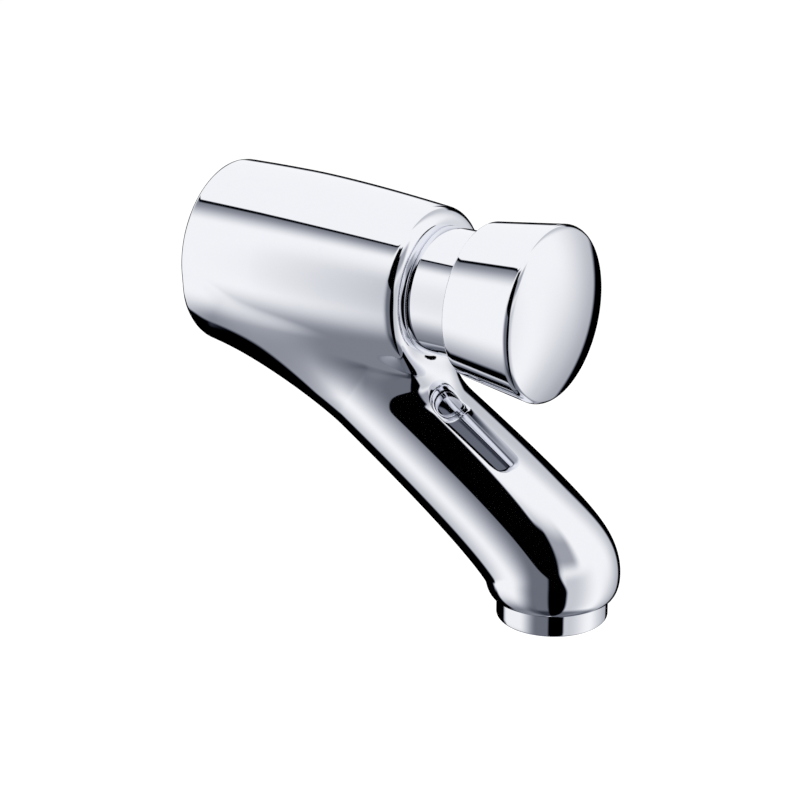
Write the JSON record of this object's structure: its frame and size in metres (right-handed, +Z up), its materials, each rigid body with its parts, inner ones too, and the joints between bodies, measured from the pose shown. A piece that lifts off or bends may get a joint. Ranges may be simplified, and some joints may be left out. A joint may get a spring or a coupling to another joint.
{
  "type": "basin tap",
  "caption": "Wall-mounted self-closing basin tap: chromed barrel with a push button on its nose and a down-sloping spout with an aerator.",
  "frame": {"origin": "centre of the rear face, on the axis of the inlet thread, in the plane of the wall", "axes": "+Y into the wall along the inlet thread and the way the button is pushed, +Z up, +X to the right of someone facing the wall"},
  "size_m": [0.0458, 0.1151, 0.1022],
  "materials": {
    "polished_chrome": "mirror-polished chrome plate on brass",
    "brass": "turned, uncoated",
    "stainless": "turned or stamped stainless steel",
    "spring_steel": "drawn stainless spring wire",
    "black_rubber": "moulded nitrile rubber",
    "white_acetal": "moulded acetal",
    "green_acetal": "moulded acetal, coloured by flow rate",
    "grey_acetal": "moulded acetal"
  },
  "bodies": {
    "housing": {"cast_body": "polished_chrome", "inlet_washer": "black_rubber", "inlet_filter": "stainless", "seat_ring": "brass", "seat_o_ring": "black_rubber", "cartridge_sleeve": "brass", "cartridge_o_ring": "black_rubber", "partition_o_ring": "black_rubber", "guide_sleeve": "polished_chrome", "guide_sleeve_o_ring": "black_rubber", "stem_bush": "white_acetal", "stem_o_ring": "black_rubber", "wiper_ring": "black_rubber", "return_spring": "spring_steel", "aerator_ring": "polished_chrome", "aerator_washer": "black_rubber", "flow_regulator": "green_acetal", "aerator_insert": "white_acetal", "outlet_grid": "grey_acetal"},
    "spring_carriage": {"spring_cup": "stainless"},
    "plunger": {"stem": "stainless", "valve_washer": "black_rubber", "washer_cup": "brass", "valve_nut": "stainless", "piston": "white_acetal", "piston_lip_seal": "black_rubber", "piston_clip": "spring_steel", "lock_nut": "stainless", "button_hub": "brass", "button_cap": "polished_chrome"}
  },
  "joints": [
    {"name": "button_push", "type": "slide", "parent": "housing", "child": "spring_carriage", "axis": [0, 1, 0], "range_m": [0, 0.005], "stiffness_N_per_m": 1500, "springref_m": -0.008, "deforming": ["return_spring"]},
    {"name": "button_turn", "type": "hinge", "parent": "spring_carriage", "child": "plunger", "pos_m": [0, -0.085, 0], "axis": [0, -1, 0], "continuous": true}
  ]
}
